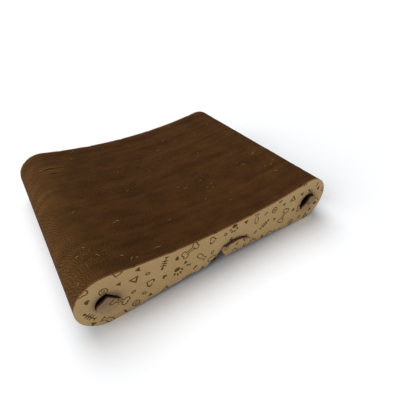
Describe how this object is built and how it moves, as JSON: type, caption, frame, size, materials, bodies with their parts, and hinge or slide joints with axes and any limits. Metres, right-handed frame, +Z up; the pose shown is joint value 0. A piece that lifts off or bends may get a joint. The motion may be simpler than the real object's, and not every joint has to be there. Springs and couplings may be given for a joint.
{
  "type": "cardboard cat scratcher",
  "caption": "Low corrugated cardboard cat scratcher with round ends, a hollowed top, printed kraft side panels and creased flaps over its play tunnels.",
  "frame": {"origin": "centre of the footprint, at floor level", "axes": "+X along the length, to the right as one faces the front panel; +Y from the front panel to the back panel; +Z up"},
  "size_m": [0.54, 0.4468, 0.1034],
  "materials": {
    "printed_kraft": "matt",
    "fluted_board": "matt"
  },
  "bodies": {
    "scratcher": {"front_panel": "printed_kraft", "back_panel": "printed_kraft", "core_strip_01": "fluted_board", "core_strip_02": "fluted_board", "core_strip_03": "fluted_board", "core_strip_04": "fluted_board", "core_strip_05": "fluted_board", "core_strip_06": "fluted_board", "core_strip_07": "fluted_board", "core_strip_08": "fluted_board", "core_strip_09": "fluted_board", "core_strip_10": "fluted_board", "core_strip_11": "fluted_board", "core_strip_12": "fluted_board", "core_strip_13": "fluted_board", "core_strip_14": "fluted_board", "core_strip_15": "fluted_board", "core_strip_16": "fluted_board", "core_strip_17": "fluted_board", "core_strip_18": "fluted_board", "core_strip_19": "fluted_board", "core_strip_20": "fluted_board", "core_strip_21": "fluted_board", "core_strip_22": "fluted_board", "core_strip_23": "fluted_board", "core_strip_24": "fluted_board", "core_strip_25": "fluted_board", "core_strip_26": "fluted_board", "core_strip_27": "fluted_board", "core_strip_28": "fluted_board", "core_strip_29": "fluted_board", "core_strip_30": "fluted_board", "core_strip_31": "fluted_board", "core_strip_32": "fluted_board", "core_strip_33": "fluted_board", "core_strip_34": "fluted_board", "core_strip_35": "fluted_board", "core_strip_36": "fluted_board", "core_strip_37": "fluted_board", "core_strip_38": "fluted_board", "core_strip_39": "fluted_board", "core_strip_40": "fluted_board", "core_strip_41": "fluted_board", "core_strip_42": "fluted_board"},
    "front_left_flap": {"front_left_flap": "printed_kraft"},
    "front_middle_flap": {"front_middle_flap": "printed_kraft"},
    "front_right_flap": {"front_right_flap": "printed_kraft"},
    "back_left_flap": {"back_left_flap": "printed_kraft"},
    "back_middle_flap": {"back_middle_flap": "printed_kraft"},
    "back_right_flap": {"back_right_flap": "printed_kraft"}
  },
  "joints": [
    {"name": "front_left_crease", "type": "hinge", "parent": "scratcher", "child": "front_left_flap", "pos_m": [-0.22, -0.2115, 0.0315], "axis": [1, 0, 0], "range_deg": [-75, 75]},
    {"name": "front_middle_crease", "type": "hinge", "parent": "scratcher", "child": "front_middle_flap", "pos_m": [0.024, -0.2115, 0.017], "axis": [1, 0, 0], "range_deg": [-72, 78]},
    {"name": "front_right_crease", "type": "hinge", "parent": "scratcher", "child": "front_right_flap", "pos_m": [0.22, -0.2115, 0.0315], "axis": [1, 0, 0], "range_deg": [-77, 73]},
    {"name": "back_left_crease", "type": "hinge", "parent": "scratcher", "child": "back_left_flap", "pos_m": [-0.22, 0.2115, 0.0315], "axis": [-1, 0, 0], "range_deg": [-75, 75]},
    {"name": "back_middle_crease", "type": "hinge", "parent": "scratcher", "child": "back_middle_flap", "pos_m": [0.024, 0.2115, 0.017], "axis": [-1, 0, 0], "range_deg": [-72, 78]},
    {"name": "back_right_crease", "type": "hinge", "parent": "scratcher", "child": "back_right_flap", "pos_m": [0.22, 0.2115, 0.0315], "axis": [-1, 0, 0], "range_deg": [-77, 73]}
  ]
}
